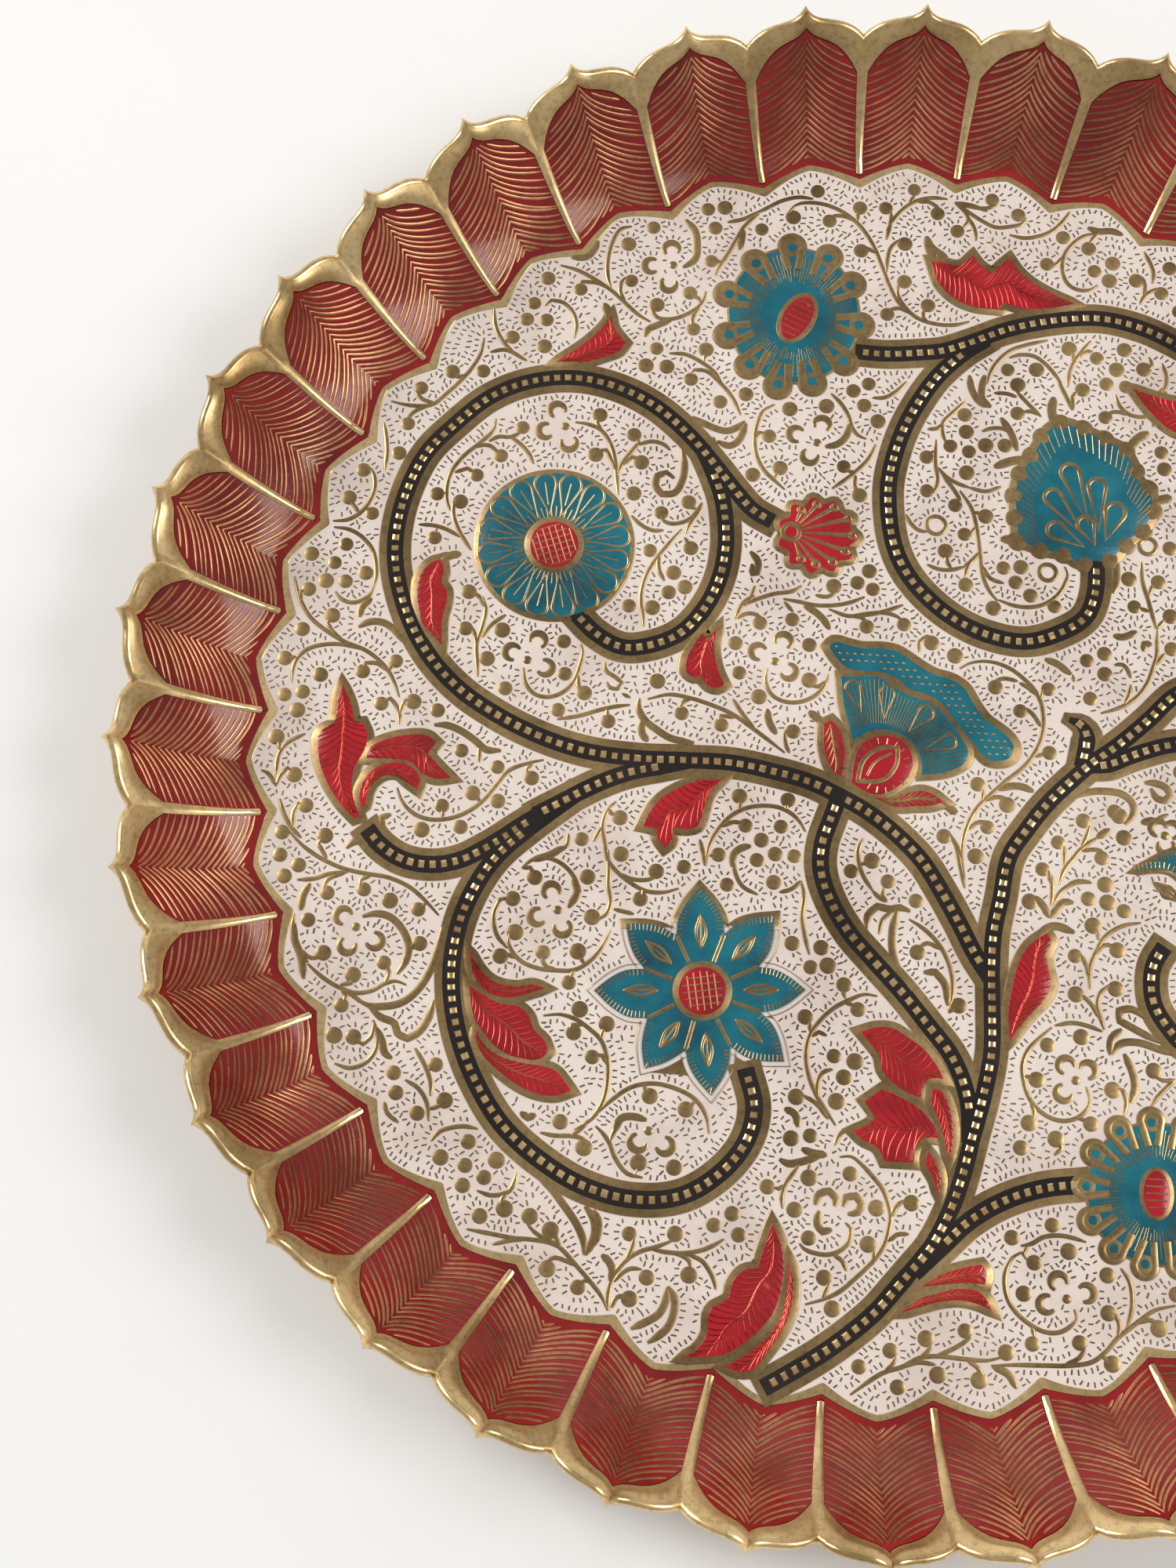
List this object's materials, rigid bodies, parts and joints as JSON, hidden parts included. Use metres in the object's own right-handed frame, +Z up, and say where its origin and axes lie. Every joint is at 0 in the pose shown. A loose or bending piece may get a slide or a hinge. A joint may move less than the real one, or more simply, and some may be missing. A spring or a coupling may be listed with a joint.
{
  "type": "tray",
  "caption": "Round shallow brass tray with a scalloped petal rim and a flat floor of inlaid enamel scrollwork, for serving or display.",
  "frame": {"origin": "centre of the flat underside, where the tray stands on a table", "axes": "+Z up out of the tray's floor; +Y through the tip of one rim petal, away from the viewer of the scrollwork; +X to that viewer's right"},
  "size_m": [0.3006, 0.3018, 0.0244],
  "materials": {
    "brass": "polished high spots, darkened in the recesses",
    "rim_red_enamel": "glossy deep red enamel",
    "red_enamel": "glossy red enamel",
    "white_enamel": "satin off-white enamel with a pink cast",
    "teal_enamel": "glossy teal enamel",
    "black_enamel": "glossy black enamel"
  },
  "bodies": {
    "root": {"aster_bars_centre_enamel": "red_enamel", "aster_bars_enamel": "teal_enamel", "aster_north_centre_enamel": "red_enamel", "aster_north_east_centre_enamel": "red_enamel", "aster_north_east_enamel": "teal_enamel", "aster_north_enamel": "teal_enamel", "aster_south_centre_enamel": "red_enamel", "aster_south_east_centre_enamel": "red_enamel", "aster_south_east_enamel": "teal_enamel", "aster_south_enamel": "teal_enamel", "bud_enamel": "red_enamel", "east_flower_enamel": "teal_enamel", "fan_band_enamel": "teal_enamel", "fan_disc_enamel": "red_enamel", "fan_petal_left_enamel": "red_enamel", "fan_petal_right_enamel": "red_enamel", "fan_ribs_enamel": "teal_enamel", "ground_enamel": "white_enamel", "ground_enamel_2": "white_enamel", "ground_enamel_3": "white_enamel", "leaf_centre_enamel": "red_enamel", "leaf_east_enamel": "red_enamel", "leaf_east_inner_enamel": "red_enamel", "leaf_east_upper_enamel": "red_enamel", "leaf_far_north_east_enamel": "red_enamel", "leaf_north_east_enamel": "red_enamel", "leaf_north_enamel": "red_enamel", "leaf_north_west_enamel": "red_enamel", "leaf_root_edge_enamel": "red_enamel", "leaf_root_left_enamel": "red_enamel", "leaf_root_right_lower_enamel": "red_enamel", "leaf_root_right_upper_enamel": "red_enamel", "leaf_south_east_enamel": "red_enamel", "leaf_south_edge_enamel": "red_enamel", "leaf_south_foot_enamel": "red_enamel", "leaf_south_lower_enamel": "red_enamel", "leaf_south_upper_enamel": "red_enamel", "leaf_south_west_lower_enamel": "red_enamel", "leaf_south_west_middle_enamel": "red_enamel", "leaf_south_west_upper_enamel": "red_enamel", "leaf_trunk_enamel": "red_enamel", "leaf_under_bars_enamel": "red_enamel", "leaf_west_enamel": "red_enamel", "palmette_enamel": "teal_enamel", "rim_enamel": "rim_red_enamel", "spray_lower_enamel": "red_enamel", "spray_upper_enamel": "red_enamel", "spray_upright_enamel": "red_enamel", "star_flower_centre_enamel": "red_enamel", "star_flower_enamel": "teal_enamel", "tray_body": "brass", "vine_enamel": "black_enamel", "vine_enamel_2": "black_enamel"}
  },
  "joints": []
}
